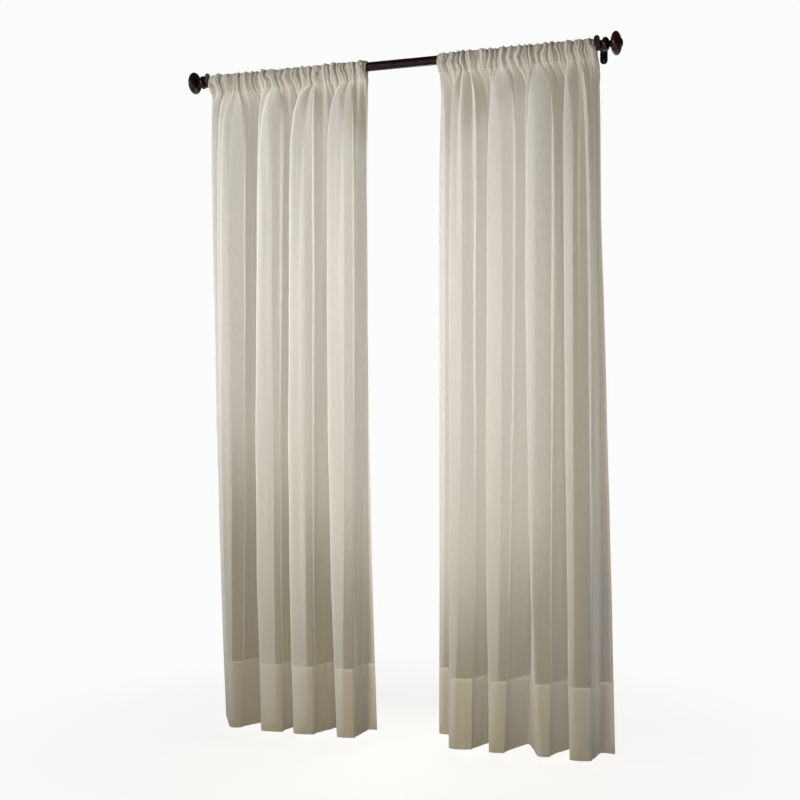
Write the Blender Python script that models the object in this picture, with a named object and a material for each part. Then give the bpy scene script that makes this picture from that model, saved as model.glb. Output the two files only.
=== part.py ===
"""A pair of sheer voile curtains hanging by their rod pockets from a dark bronze rod.

Each panel is one sheet of cloth: a wide hem at the bottom, a drop of soft uneven folds, and at the
top a sewn pocket that the rod runs through, where the cloth is gathered into small puckers. The rod
lies in two wall brackets and ends in two turned finials.

Metres, +Z up. The wall is the plane Y = 0 and the room is on the side of negative Y. The origin is
the middle of the right bracket's plate where it meets the wall, at the height of the rod's axis.
"""

import math

import bmesh
import bpy
import numpy as np
from mathutils import Matrix, Vector

# The rod and what carries it
ROD_RADIUS = 0.0143
ROD_TO_WALL = 0.095
BRACKET_SPAN = 1.3016
ROD_PAST_BRACKET = 0.0100
SEAT_GAP = 0.0003
SOCKET_RADIUS = 0.0080
SOCKET_DEPTH = 0.022

# Brackets: a plate on the wall, an arm, and a cradle that is open at the top
PLATE_WIDTH = 0.023
PLATE_HEIGHT = 0.070
PLATE_THICKNESS = 0.003
ARM_RADIUS = 0.0055
CRADLE_WIDTH = 0.018
CRADLE_WALL = 0.0032
CRADLE_FRONT_TOP = 0.0245
CRADLE_BACK_TOP = 0.0165
SCREW_OFFSET = 0.0255
SCREW_RADIUS = 0.0038
SCREW_RISE = 0.0018

# Finials: a ball against the rod's end, a neck, a wide lens-shaped disc and a round end
BALL_RADIUS = 0.0215
BALL_LENGTH = 0.0260
NECK_RADIUS = 0.0092
DISC_RADIUS = 0.0360
DISC_CENTRE = 0.0424
DISC_HALF = 0.0115
NUB_RADIUS = 0.0150
FINIAL_LENGTH = 0.0650
DOWEL_LENGTH = 0.020

# Cloth
CLOTH = 0.0016
HEM_CLOTH = 0.0024
DROP_BELOW_AXIS = 2.1175
HEM_HEIGHT = 0.198
SEAM_BELOW_AXIS = 0.040
POCKET_SLACK = 0.0005
PUCKER_HEIGHT = 0.0034
PUCKER_SWAY = 0.0036
SMALLEST_STEP = 0.0020

# Steps of the meshes
FRONT_STEPS = 4
SIDE_STEPS = 5
EDGE_STEPS = 6
POCKET_STEPS = 12
ROUND_STEPS = 20

# How the folds open on the way down. height: metres below the axis; spread: 0 is as gathered in the
# pocket and 1 as in the folds; depth: share of the folds' full depth; flare: 0 is the form at the
# waist of the drop and 1 the form at the hem; ripple: share of the puckers that is left.
DROP_COLUMNS = ("height", "spread", "depth", "flare", "ripple")
DROP_ROWS = (
    (0.040, 0.00, 0.02, 0.00, 1.00),
    (0.075, 0.10, 0.20, 0.00, 0.95),
    (0.130, 0.35, 0.38, 0.00, 0.60),
    (0.230, 0.68, 0.56, 0.00, 0.30),
    (0.420, 0.92, 0.70, 0.02, 0.10),
    (0.750, 1.00, 0.79, 0.10, 0.00),
    (1.150, 1.00, 0.86, 0.30, 0.00),
    (1.550, 1.00, 0.93, 0.62, 0.00),
)

# The folds of each panel, one row a fold. left and right: where its front begins and ends, from the
# panel's left corner at the pocket, at the hem and at the waist; reach: how far its front stands out
# into the room at the hem; gap: where the cloth turns behind it, and behind: how far back.
FOLD_COLUMNS = (
    "hem_left", "hem_right", "waist_left", "waist_right", "reach", "hem_gap", "waist_gap", "behind",
)
PANELS = {
    "panel_left": {
        "corner": 0.0130 - BRACKET_SPAN,
        "width": 0.552,
        "puckers": 19,
        "seed": 0.3,
        "start": {"hem": (0.014, 0.070), "waist": (0.001, 0.040)},
        "end": {"hem": (0.5645, 0.050), "waist": (0.541, 0.034)},
        "folds": (
            (0.101, 0.139, 0.065, 0.112, 0.073, 0.201, 0.156, 0.062),
            (0.217, 0.284, 0.189, 0.246, 0.078, 0.316, 0.285, 0.056),
            (0.331, 0.393, 0.305, 0.396, 0.074, 0.441, 0.420, 0.050),
            (0.477, 0.5285, 0.435, 0.522, 0.070, 0.5360, 0.533, 0.045),
        ),
    },
    "panel_right": {
        "corner": -0.5006,
        "width": 0.489,
        "puckers": 17,
        "seed": 1.9,
        "start": {"hem": (-0.024, 0.060), "waist": (-0.004, 0.030)},
        "end": {"hem": (0.5437, 0.030), "waist": (0.511, 0.030)},
        "folds": (
            (0.0605, 0.1285, 0.049, 0.097, 0.076, 0.173, 0.140, 0.056),
            (0.184, 0.2335, 0.170, 0.240, 0.078, 0.298, 0.268, 0.054),
            (0.328, 0.371, 0.293, 0.381, 0.074, 0.413, 0.396, 0.056),
            (0.431, 0.489, 0.407, 0.4775, 0.076, 0.4970, 0.486, 0.028),
        ),
    },
}


def clear_scene():
    for thing in list(bpy.data.objects):
        bpy.data.objects.remove(thing, do_unlink=True)


def material(name, colour, roughness, metallic):
    made = bpy.data.materials.new(name)
    made.use_nodes = True
    shader = made.node_tree.nodes["Principled BSDF"]
    shader.inputs["Base Color"].default_value = (*colour, 1.0)
    shader.inputs["Roughness"].default_value = roughness
    shader.inputs["Metallic"].default_value = metallic
    made.diffuse_color = (*colour, 1.0)
    return made


def add_object(name, mesh, finish, sharp_angle=math.radians(40)):
    mesh.materials.append(finish)
    mesh.shade_smooth()
    mesh.set_sharp_from_angle(angle=sharp_angle)
    made = bpy.data.objects.new(name, mesh)
    bpy.context.scene.collection.objects.link(made)
    return made


def mesh_of(name, shape):
    """A mesh from a bmesh, with its faces turned outwards."""
    bmesh.ops.recalc_face_normals(shape, faces=shape.faces)
    mesh = bpy.data.meshes.new(name)
    shape.to_mesh(mesh)
    shape.free()
    return mesh


# Cloth panels

def smooth_line(points, steps, ease=0.38):
    """A smooth line through points: cubic stretches whose slope at a point follows its neighbours.

    steps holds how many samples each stretch gets.
    """
    points = np.array(points)
    slopes = np.zeros_like(points)
    slopes[1:-1] = ease * (points[2:] - points[:-2])
    slopes[0] = ease * (points[1] - points[0])
    slopes[-1] = ease * (points[-1] - points[-2])
    line = [points[:1]]
    for i, count in enumerate(steps):
        t = (np.arange(1, count + 1) / count)[:, None]
        line.append(
            (2 * t**3 - 3 * t**2 + 1) * points[i]
            + (t**3 - 2 * t**2 + t) * slopes[i]
            + (3 * t**2 - 2 * t**3) * points[i + 1]
            + (t**3 - t**2) * slopes[i + 1]
        )
    return np.concatenate(line)


def fold_line(panel, level):
    """The panel's line seen from above at full depth, at the level "hem" or "waist"."""
    points = [panel["start"][level]]
    steps = []
    for row in panel["folds"]:
        fold = dict(zip(FOLD_COLUMNS, row))
        points.append((fold[level + "_left"], -fold["reach"]))
        points.append((fold[level + "_right"], -fold["reach"]))
        points.append((fold[level + "_gap"], fold["behind"]))
        steps += [SIDE_STEPS, FRONT_STEPS, SIDE_STEPS]
    points.append(panel["end"][level])
    steps[0] = EDGE_STEPS
    steps.append(FRONT_STEPS)
    line = smooth_line(points, steps)
    climb = SMALLEST_STEP * np.arange(len(line))
    line[:, 0] = np.maximum.accumulate(line[:, 0] - climb) + climb
    return line


def length_share(line):
    """How far along the line each of its points lies, from 0 to 1."""
    steps = np.hypot(*np.diff(line, axis=0).T)
    along = np.concatenate(([0.0], np.cumsum(steps)))
    return along / along[-1]


def pucker_wave(panel, share):
    """The uneven wave of the gathers along the pocket, from -1 to 1."""
    seed = panel["seed"]
    uneven = share + 0.010 * np.sin(7.3 * math.tau * share + seed) / 2
    wave = np.sin(math.tau * panel["puckers"] * uneven + seed)
    swell = 0.72 + 0.28 * np.sin(5.1 * math.tau * share + 2 * seed)
    return wave * swell


def drop_heights():
    """Metres below the axis of each row of the sheet, from the seam down to the hem's edge."""
    hem_top = DROP_BELOW_AXIS - HEM_HEIGHT
    turned_edge = 0.003
    heights = [row[0] for row in DROP_ROWS]
    heights += [hem_top, hem_top + turned_edge, hem_top + HEM_HEIGHT / 2, DROP_BELOW_AXIS]
    return heights


def drop_value(column, height):
    """One value of the table DROP_ROWS at a height, straight between its rows and 1 at the hem."""
    at = DROP_COLUMNS.index(column)
    heights = [row[0] for row in DROP_ROWS] + [DROP_BELOW_AXIS]
    at_hem = 0.0 if column == "ripple" else 1.0
    return float(np.interp(height, heights, [row[at] for row in DROP_ROWS] + [at_hem]))


def sheet_skins(panel, hem, waist, share):
    """Front and back skins of the hanging sheet, each rows by columns by 3."""
    wave = pucker_wave(panel, share)
    gathered = panel["width"] * share
    front, back = [], []
    for height in drop_heights():
        spread, depth, flare, ripple = (
            drop_value(column, height) for column in DROP_COLUMNS[1:]
        )
        folded = waist + flare * (hem - waist)
        x = gathered + spread * (folded[:, 0] - gathered)
        y = depth * folded[:, 1] + ripple * PUCKER_SWAY * wave
        across = np.gradient(np.stack((x, y), axis=1), axis=0)
        across /= np.hypot(*across.T)[:, None]
        in_hem = height > DROP_BELOW_AXIS - HEM_HEIGHT + 0.001
        half = (HEM_CLOTH if in_hem else CLOTH) / 2
        z = np.full_like(x, -height)
        front.append(np.stack((x + half * across[:, 1], y - half * across[:, 0], z), axis=1))
        back.append(np.stack((x - half * across[:, 1], y + half * across[:, 0], z), axis=1))
    return np.array(front), np.array(back)


def pocket_skins(panel, share, seam_front, seam_back):
    """Outer skin and inner loop of the pocket, each steps by columns by 3.

    Seen along the rod the pocket is a drop shape: a round over the rod, and two straight walls that
    meet at the seam below it.
    """
    inner_radius = (ROD_RADIUS + POCKET_SLACK) / math.cos(math.pi / POCKET_STEPS)
    wave = pucker_wave(panel, share)
    x = panel["width"] * share
    middle = (seam_front[:, 1] + seam_back[:, 1]) / 2
    inner_bottom = SEAM_BELOW_AXIS - 2 * CLOTH
    turn = math.acos(inner_radius / inner_bottom)
    angles = math.tau * np.arange(1, POCKET_STEPS) / POCKET_STEPS
    outer, inner = [seam_front], [np.stack((x, middle, np.full_like(x, -inner_bottom)), axis=1)]
    for angle in angles:
        from_bottom = min(angle, math.tau - angle)
        stretch = 1 / math.cos(max(0.0, turn - from_bottom))
        loose = PUCKER_HEIGHT * (0.5 + 0.5 * wave) * (0.35 + 0.65 * abs(math.sin(angle)))
        radius = inner_radius * stretch + loose
        sway = middle * max(0.0, math.cos(angle)) ** 4
        for skin, extra in ((outer, CLOTH), (inner, 0.0)):
            y = sway - (radius + extra) * math.sin(angle)
            z = -(radius + extra) * math.cos(angle)
            skin.append(np.stack((x, y, z), axis=1))
    outer.append(seam_back)
    return np.array(outer), np.array(inner)


def panel_mesh(name, panel):
    """One closed body: hem, drop and pocket, with the rod's tunnel open at both ends."""
    hem = fold_line(panel, "hem")
    waist = fold_line(panel, "waist")
    share = length_share(hem)
    front, back = sheet_skins(panel, hem, waist, share)
    outer, inner = pocket_skins(panel, share, front[0], back[0])
    shape = bmesh.new()

    def points_of(grid):
        return [[shape.verts.new(point) for point in row] for row in grid]

    down_front = points_of(front[1:])
    down_back = points_of(back[1:])
    over = points_of(outer)
    inside = points_of(inner)
    front_rows = [over[0]] + down_front
    back_rows = [over[-1]] + down_back
    loop = inside + [inside[0]]
    last = len(share) - 1

    def skin(rows):
        for upper, lower in zip(rows, rows[1:]):
            for k in range(last):
                shape.faces.new((upper[k], upper[k + 1], lower[k + 1], lower[k]))

    def edge(first_rows, second_rows, k):
        for i in range(len(first_rows) - 1):
            corners = (
                first_rows[i][k], first_rows[i + 1][k], second_rows[i + 1][k], second_rows[i][k],
            )
            shape.faces.new(corners)

    for rows in (front_rows, back_rows, over, loop):
        skin(rows)
    skin([front_rows[-1], back_rows[-1]])
    for k in (0, last):
        edge(front_rows, back_rows, k)
        edge(over, loop, k)
        shape.faces.new((over[0][k], inside[0][k], over[-1][k]))
    place = Vector((panel["corner"], -ROD_TO_WALL, 0.0))
    bmesh.ops.translate(shape, verts=shape.verts, vec=place)
    bmesh.ops.triangulate(shape, faces=shape.faces)
    return mesh_of(name, shape)


# Rod and finials

def turned_mesh(name, profile, steps=ROUND_STEPS):
    """A solid turned about the X axis from a profile of (x, radius) that starts and ends on it."""
    shape = bmesh.new()
    rings = []
    for x, radius in profile:
        if radius == 0:
            rings.append([shape.verts.new((x, 0, 0))])
            continue
        angles = [math.tau * i / steps for i in range(steps)]
        rings.append([shape.verts.new((x, radius * math.sin(a), radius * math.cos(a))) for a in angles])
    for ring, following in zip(rings, rings[1:]):
        for i in range(steps):
            j = (i + 1) % steps
            corners = [ring[i % len(ring)], ring[j % len(ring)]]
            corners += [following[j % len(following)], following[i % len(following)]]
            shape.faces.new(list(dict.fromkeys(corners)))
    return mesh_of(name, shape)


def rod_profile():
    """A pole with a socket in each end for the finial's dowel."""
    start = -BRACKET_SPAN - ROD_PAST_BRACKET
    end = ROD_PAST_BRACKET
    return (
        (start + SOCKET_DEPTH, 0),
        (start + SOCKET_DEPTH, SOCKET_RADIUS),
        (start, SOCKET_RADIUS),
        (start, ROD_RADIUS),
        (end, ROD_RADIUS),
        (end, SOCKET_RADIUS),
        (end - SOCKET_DEPTH, SOCKET_RADIUS),
        (end - SOCKET_DEPTH, 0),
    )


def arc(centre, half_length, radius, start, end, steps):
    """Points of an ellipse about the axis, by angle from the rod's side to the outer side."""
    angles = np.radians(np.linspace(start, end, steps + 1))
    return [(centre - half_length * math.cos(a), radius * math.sin(a)) for a in angles]


def finial_profile():
    """Dowel, ball, neck, disc and end, from the rod outwards."""
    dowel = SOCKET_RADIUS - SEAT_GAP
    ball = arc(BALL_LENGTH / 2, BALL_LENGTH / 2, BALL_RADIUS, 40, 150, 7)
    disc = arc(DISC_CENTRE, DISC_HALF, DISC_RADIUS, 22, 152, 9)
    nub_half = FINIAL_LENGTH - DISC_CENTRE - DISC_HALF * 0.85
    nub = arc(FINIAL_LENGTH - nub_half, nub_half, NUB_RADIUS, 100, 180, 4)
    profile = [(-DOWEL_LENGTH, 0), (-DOWEL_LENGTH, dowel), (0.0, dowel), (0.0, ball[0][1])]
    profile += ball
    profile += [(BALL_LENGTH + 0.0012, NECK_RADIUS), (DISC_CENTRE - DISC_HALF - 0.0006, NECK_RADIUS)]
    profile += disc
    profile += nub[:-1]
    profile.append((FINIAL_LENGTH, 0))
    return profile


# Brackets

def plate_mesh(name):
    """The wall plate: a flat bar with half-round ends, its back on the wall."""
    shape = bmesh.new()
    half_straight = (PLATE_HEIGHT - PLATE_WIDTH) / 2
    outline = []
    for end, first in ((1, 0.0), (-1, math.pi)):
        for i in range(9):
            angle = first + math.pi * i / 8
            x = PLATE_WIDTH / 2 * math.cos(angle)
            outline.append((x, end * half_straight + PLATE_WIDTH / 2 * math.sin(angle)))
    rear = [shape.verts.new((x, 0.0, z)) for x, z in outline]
    front = [shape.verts.new((x, -PLATE_THICKNESS, z)) for x, z in outline]
    shape.faces.new(rear)
    shape.faces.new(front)
    for i in range(len(outline)):
        j = (i + 1) % len(outline)
        shape.faces.new((rear[i], rear[j], front[j], front[i]))
    return mesh_of(name, shape)


def cradle_mesh(name):
    """The cradle: a strap bent into a U under the rod, its front end taller and rounded."""
    inner = ROD_RADIUS + SEAT_GAP
    outer = inner + CRADLE_WALL
    half = CRADLE_WIDTH / 2
    stations = []
    tip_steps = 4
    for i in range(tip_steps + 1):
        turn = math.pi / 2 * i / tip_steps
        height = CRADLE_FRONT_TOP - half + half * math.cos(turn)
        stations.append((180, height, max(half * math.sin(turn), half * 0.25)))
    for angle in np.linspace(180, 360, 11):
        stations.append((angle, 0.0, half))
    stations.append((360, CRADLE_BACK_TOP, half))
    shape = bmesh.new()
    rings = []
    for angle, rise, half_width in stations:
        a = math.radians(angle)
        ring = []
        for radius, side in ((inner, -1), (inner, 1), (outer, 1), (outer, -1)):
            y = radius * math.cos(a)
            z = radius * math.sin(a) + rise
            ring.append(shape.verts.new((side * half_width, y, z)))
        rings.append(ring)
    for ring, following in zip(rings, rings[1:]):
        for i in range(4):
            j = (i + 1) % 4
            shape.faces.new((ring[i], ring[j], following[j], following[i]))
    shape.faces.new(rings[0])
    shape.faces.new(rings[-1])
    bmesh.ops.translate(shape, verts=shape.verts, vec=(0, -ROD_TO_WALL, 0))
    return mesh_of(name, shape)


def arm_mesh(name):
    """The arm: a round bar from inside the cradle's wall to inside the plate."""
    from_y = -ROD_TO_WALL + ROD_RADIUS + SEAT_GAP + CRADLE_WALL / 2
    to_y = -PLATE_THICKNESS / 2
    shape = bmesh.new()
    turn = Matrix.Rotation(math.pi / 2, 4, "X")
    place = Matrix.Translation((0, (from_y + to_y) / 2, 0))
    bmesh.ops.create_cone(
        shape,
        cap_ends=True,
        segments=12,
        radius1=ARM_RADIUS,
        radius2=ARM_RADIUS,
        depth=to_y - from_y,
        matrix=place @ turn,
    )
    return mesh_of(name, shape)


def add_bracket(name, x, finish):
    """Plate, arm and cradle made one body."""
    bracket = add_object(name, plate_mesh(name), finish)
    bracket.location.x = x
    for piece, mesh in (("arm", arm_mesh(name)), ("cradle", cradle_mesh(name))):
        joined = add_object(name + "_" + piece + "_form", mesh, finish)
        joined.location.x = x
        joined.hide_render = True
        joined.display_type = "WIRE"
        union = bracket.modifiers.new(piece, "BOOLEAN")
        union.operation = "UNION"
        union.solver = "EXACT"
        union.object = joined
    return bracket


def screw_mesh(name):
    """A low round screw head on the plate's face."""
    steps = 10
    shape = bmesh.new()
    rings = []
    for radius, out in ((1.0, 0.0), (0.94, 0.45), (0.6, 0.88)):
        ring = []
        for i in range(steps):
            angle = math.tau * i / steps
            x = SCREW_RADIUS * radius * math.cos(angle)
            z = SCREW_RADIUS * radius * math.sin(angle)
            ring.append(shape.verts.new((x, -out * SCREW_RISE, z)))
        rings.append(ring)
    for ring, following in zip(rings, rings[1:]):
        for i in range(steps):
            j = (i + 1) % steps
            shape.faces.new((ring[i], ring[j], following[j], following[i]))
    shape.faces.new(rings[0])
    top = shape.verts.new((0, -SCREW_RISE, 0))
    for i in range(steps):
        shape.faces.new((rings[-1][i], rings[-1][(i + 1) % steps], top))
    return mesh_of(name, shape)


def build():
    clear_scene()
    voile = material("voile", (0.60, 0.55, 0.46), 0.85, 0.0)
    bronze = material("bronze", (0.030, 0.017, 0.012), 0.32, 0.6)
    screw = material("screw", (0.060, 0.035, 0.026), 0.35, 0.8)
    for name, panel in PANELS.items():
        add_object(name, panel_mesh(name, panel), voile, math.radians(70))
    rod = add_object("rod", turned_mesh("rod", rod_profile()), bronze)
    rod.location = (0, -ROD_TO_WALL, 0)
    sides = (
        ("left", -BRACKET_SPAN, -BRACKET_SPAN - ROD_PAST_BRACKET - SEAT_GAP, math.pi),
        ("right", 0.0, ROD_PAST_BRACKET + SEAT_GAP, 0.0),
    )
    for side, bracket_x, finial_x, turn in sides:
        name = "finial_" + side
        finial = add_object(name, turned_mesh(name, finial_profile()), bronze)
        finial.location = (finial_x, -ROD_TO_WALL, 0)
        finial.rotation_euler.z = turn
        add_bracket("bracket_" + side, bracket_x, bronze)
        for place, z in (("upper", SCREW_OFFSET), ("lower", -SCREW_OFFSET)):
            name = "screw_" + side + "_" + place
            head = add_object(name, screw_mesh(name), screw)
            head.location = (bracket_x, -PLATE_THICKNESS - SEAT_GAP, z)


build()
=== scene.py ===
# %% [markdown]
# A pair of sheer voile curtains on a dark bronze rod. The frame holds the plain solids at their real
# size. This lesson dresses them: it reads each size that it needs from the frame, makes the cloth as
# one thin surface a panel, turns the hard pieces again with finer outlines, and gives every piece a
# finish made of nodes.

# %% Load the frame
import math

import bmesh
import bpy
import numpy as np
from mathutils import Matrix, Vector


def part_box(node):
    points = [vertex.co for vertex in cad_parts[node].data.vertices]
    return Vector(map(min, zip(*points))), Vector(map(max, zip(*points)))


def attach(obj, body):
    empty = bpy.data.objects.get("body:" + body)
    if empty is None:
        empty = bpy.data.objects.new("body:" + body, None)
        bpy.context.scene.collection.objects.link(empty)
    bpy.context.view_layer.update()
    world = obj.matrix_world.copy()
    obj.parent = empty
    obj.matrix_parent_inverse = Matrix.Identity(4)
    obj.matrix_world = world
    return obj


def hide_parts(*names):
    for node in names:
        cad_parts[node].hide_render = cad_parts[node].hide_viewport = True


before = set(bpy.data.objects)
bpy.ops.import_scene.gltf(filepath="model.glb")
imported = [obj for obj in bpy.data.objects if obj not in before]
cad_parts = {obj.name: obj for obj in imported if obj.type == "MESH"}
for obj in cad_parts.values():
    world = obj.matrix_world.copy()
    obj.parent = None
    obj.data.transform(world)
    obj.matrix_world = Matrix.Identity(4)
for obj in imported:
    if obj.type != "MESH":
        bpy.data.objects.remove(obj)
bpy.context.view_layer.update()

# %% [markdown]
# The rod's axis carries everything, so it is measured first. The cloth's sizes follow from the boxes
# of the panels: where each begins and ends along the rod, and how far it drops.

# %% Sizes read from the frame
rod_low, rod_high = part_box("rod")
axis_y = (rod_low.y + rod_high.y) / 2
rod_radius = (rod_high.z - rod_low.z) / 2
bracket_x = {
    side: sum(corner.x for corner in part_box("bracket_" + side)) / 2 for side in ("left", "right")
}
drop_below_axis = -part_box("panel_left")[0].z
print("rod radius", round(rod_radius, 4), "drop", round(drop_below_axis, 3), "brackets", bracket_x)

# %% [markdown]
# The camera stands to the right of the pair's middle, level, about 1.07 m below the rod, and looks
# a little to the left. It was found from the ellipses of the finials and the slopes of the
# rod and the hems, and it is written here as a distance and a turn about the upright axis.

# %% Camera
TURN = math.radians(20)
DISTANCE = 4.047
BELOW_ROD = 1.068
AIM_X = -0.6276
FOCAL_MM = 57.85
HORIZON_SHIFT = 0.0038
camera_data = bpy.data.cameras.new("camera")
camera_data.lens = FOCAL_MM
camera_data.sensor_width = 36
camera_data.shift_y = HORIZON_SHIFT
camera = bpy.data.objects.new("camera", camera_data)
camera.location = (
    AIM_X + DISTANCE * math.sin(TURN),
    axis_y - DISTANCE * math.cos(TURN),
    -BELOW_ROD,
)
camera.rotation_euler = (math.pi / 2, 0, TURN)
bpy.context.scene.collection.objects.link(camera)
bpy.context.scene.camera = camera
print("camera at", [round(v, 3) for v in camera.location])

# %% [markdown]
# A surface here is a grid of points worked out as whole arrays. One helper turns such a grid into a
# mesh, with its faces given by index arithmetic, and lays the cloth's own measure, in metres across
# and along, into the UV map, so that a weave keeps its scale however the cloth hangs.

# %% Grid to mesh
def grid_faces(rows, columns, closed_rows=False, closed_columns=False, first=0):
    """Quads of a rows by columns grid of points that are numbered row after row from first."""
    i = np.arange(rows if closed_rows else rows - 1)[:, None]
    k = np.arange(columns if closed_columns else columns - 1)[None, :]
    below, beside = (i + 1) % rows, (k + 1) % columns
    quads = np.stack(
        (i * columns + k, i * columns + beside, below * columns + beside, below * columns + k),
        axis=-1,
    )
    return quads.reshape(-1, 4) + first


def mesh_from(name, points, faces, uv=None):
    """A smooth mesh of points (n by 3) and quads (m by 4); uv holds a pair for each point."""
    mesh = bpy.data.meshes.new(name)
    mesh.vertices.add(len(points))
    mesh.vertices.foreach_set("co", np.ascontiguousarray(points, dtype=np.float32).ravel())
    mesh.loops.add(faces.size)
    mesh.loops.foreach_set("vertex_index", np.ascontiguousarray(faces, dtype=np.int32).ravel())
    mesh.polygons.add(len(faces))
    mesh.polygons.foreach_set("loop_start", np.arange(0, faces.size, 4, dtype=np.int32))
    mesh.update(calc_edges=True)
    if uv is not None:
        layer = mesh.uv_layers.new(name="cloth")
        layer.data.foreach_set("uv", uv[faces.ravel()].astype(np.float32).ravel())
    mesh.shade_smooth()
    return mesh


def mark_points(mesh, name, values):
    """Keeps one number for each point of the mesh, which a finish can read by its name."""
    layer = mesh.attributes.new(name, "FLOAT", "POINT")
    layer.data.foreach_set("value", np.asarray(values, dtype=np.float32))


def add_piece(name, mesh, finish, slot, *nodes):
    """Links a mesh as a piece that rides on the one body and stands for the CAD nodes named."""
    piece = bpy.data.objects.new(name, mesh)
    piece.data.materials.append(finish)
    bpy.context.scene.collection.objects.link(piece)
    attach(piece, "root")
    if nodes:
        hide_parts(*nodes)
    return piece


print("a grid of 3 by 4 points has", len(grid_faces(3, 4)), "quads")

# %% [markdown]
# Each panel hangs in four uneven folds. A table gives each fold, as in the solids: where its front
# begins and ends across the panel, at the hem and at the waist, how far it stands out, and where and
# how far back the cloth turns behind it. A smooth line through these points, seen from above, is the
# panel's section.

# %% The folds, one row a fold
HEM_HEIGHT = 0.212
SEAM_BELOW_AXIS = 0.040
FOLD_COLUMNS = (
    "hem_left", "hem_right", "waist_left", "waist_right", "reach", "hem_gap", "waist_gap", "behind",
)
PANELS = {
    "panel_left": {
        "corner": bracket_x["left"] + 0.0130,
        "width": 0.552,
        "lobes": 21,
        "seed": 11,
        "edges": (-0.008, -0.004),
        "outer": (1, 0),
        "widens": (-0.011, -0.003),
        "start": {
            "hem": ((0.030, 0.082), (0.012, 0.068)),
            "waist": ((0.048, 0.052), (0.004, 0.028)),
        },
        "end": {"hem": (0.5645, 0.050), "waist": (0.541, 0.034)},
        "folds": (
            (0.100, 0.139, 0.060, 0.141, 0.073, 0.201, 0.190, 0.062),
            (0.216, 0.284, 0.184, 0.264, 0.078, 0.316, 0.314, 0.056),
            (0.330, 0.393, 0.300, 0.382, 0.074, 0.441, 0.454, 0.050),
            (0.477, 0.5285, 0.430, 0.515, 0.070, 0.5360, 0.536, 0.045),
        ),
    },
    "panel_right": {
        "corner": bracket_x["right"] - 0.5006,
        "width": 0.489,
        "lobes": 20,
        "seed": 23,
        "edges": (0.0, 0.001),
        "outer": (0, 1),
        "widens": (0.0, 0.009),
        "start": {
            "hem": ((-0.022, 0.080), (0.030, 0.058)),
            "waist": ((-0.004, 0.030), (0.068, 0.048)),
        },
        "end": {"hem": (0.5437, 0.030), "waist": (0.511, 0.030)},
        "folds": (
            (0.0605, 0.1285, 0.056, 0.134, 0.076, 0.173, 0.194, 0.056),
            (0.184, 0.2335, 0.172, 0.258, 0.078, 0.276, 0.303, 0.054),
            (0.338, 0.371, 0.291, 0.374, 0.074, 0.413, 0.416, 0.056),
            (0.431, 0.489, 0.410, 0.486, 0.076, 0.5010, 0.499, 0.028),
        ),
    },
}
DROP_ROWS = (  # metres below the axis, spread, depth, flare
    (0.040, 0.00, 0.02, 0.00),
    (0.062, 0.34, 0.22, 0.00),
    (0.090, 0.58, 0.38, 0.00),
    (0.140, 0.80, 0.52, 0.00),
    (0.230, 0.94, 0.63, 0.00),
    (0.420, 0.99, 0.71, 0.02),
    (0.750, 1.00, 0.79, 0.08),
    (1.150, 1.00, 0.86, 0.20),
    (1.550, 1.00, 0.93, 0.45),
    (1.850, 1.00, 0.97, 0.72),
    (drop_below_axis, 1.00, 1.00, 1.00),
)
EDGE_ROWS = (  # metres below the axis, and how far the left and the right outer edge drift from that
    (0.040, 0.000, 0.000),
    (0.120, -0.012, -0.013),
    (0.300, -0.017, -0.010),
    (0.550, -0.017, -0.006),
    (0.750, -0.011, 0.000),
    (1.050, -0.008, 0.006),
    (1.360, -0.002, 0.009),
    (1.670, -0.003, 0.009),
    (drop_below_axis, 0.000, 0.004),
)


def smooth_line(points, count, ease=0.30):
    """A cubic through points, count samples a stretch; its slope at a point follows its neighbours."""
    points = np.array(points)
    slopes = np.zeros_like(points)
    slopes[1:-1] = ease * (points[2:] - points[:-2])
    slopes[0] = ease * (points[1] - points[0])
    slopes[-1] = ease * (points[-1] - points[-2])
    t = (np.arange(count) / count)[None, :, None]
    a, b = points[:-1, None], points[1:, None]
    p, q = slopes[:-1, None], slopes[1:, None]
    line = (2 * t**3 - 3 * t**2 + 1) * a + (t**3 - 2 * t**2 + t) * p
    line = line + (3 * t**2 - 2 * t**3) * b + (t**3 - t**2) * q
    return np.concatenate((line.reshape(-1, 2), points[-1:]))


SLANT = {"hem": 0.004, "waist": 0.026}
HOOK = {"hem": 0.003, "waist": -0.010}


def fold_line(panel, level, count=40):
    """The panel's line from above at full depth, at the level "hem" or "waist".

    The front of a fold slants back a little to its right edge, and at the waist the cloth turns
    under itself there, so that two layers show along that edge.
    """
    points = list(panel["start"][level])
    for row in panel["folds"]:
        fold = dict(zip(FOLD_COLUMNS, row))
        left, right, gap = (fold[level + place] for place in ("_left", "_right", "_gap"))
        turned = -fold["reach"] + SLANT[level]
        points.append((left, -fold["reach"]))
        points.append((right, turned))
        points.append((right + HOOK[level], turned + 0.022))
        points.append((gap, fold["behind"]))
    points.append(panel["end"][level])
    return smooth_line(points, count)


def section_of(panel, shares):
    """Hem and waist lines at equal shares of the hem's length, and that length in metres."""
    hem, waist = fold_line(panel, "hem"), fold_line(panel, "waist")
    along = np.concatenate(([0.0], np.cumsum(np.hypot(*np.diff(hem, axis=0).T))))
    at = along / along[-1]
    hem, waist = (
        np.stack([np.interp(shares, at, line[:, axis]) for axis in (0, 1)], axis=1)
        for line in (hem, waist)
    )
    return hem, waist, along[-1]


for name, panel in PANELS.items():
    print(name, "is", round(section_of(panel, np.linspace(0, 1, 9))[2], 3), "m wide when laid flat")

# %% [markdown]
# Gathered cloth is never regular. Two tools give it its unevenness. Soft noise is a small grid of
# seeded random numbers, smoothed between its points. Lobes are the puckers along the pocket: rounded
# swellings of uneven width with a sharp valley between each two.

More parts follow.
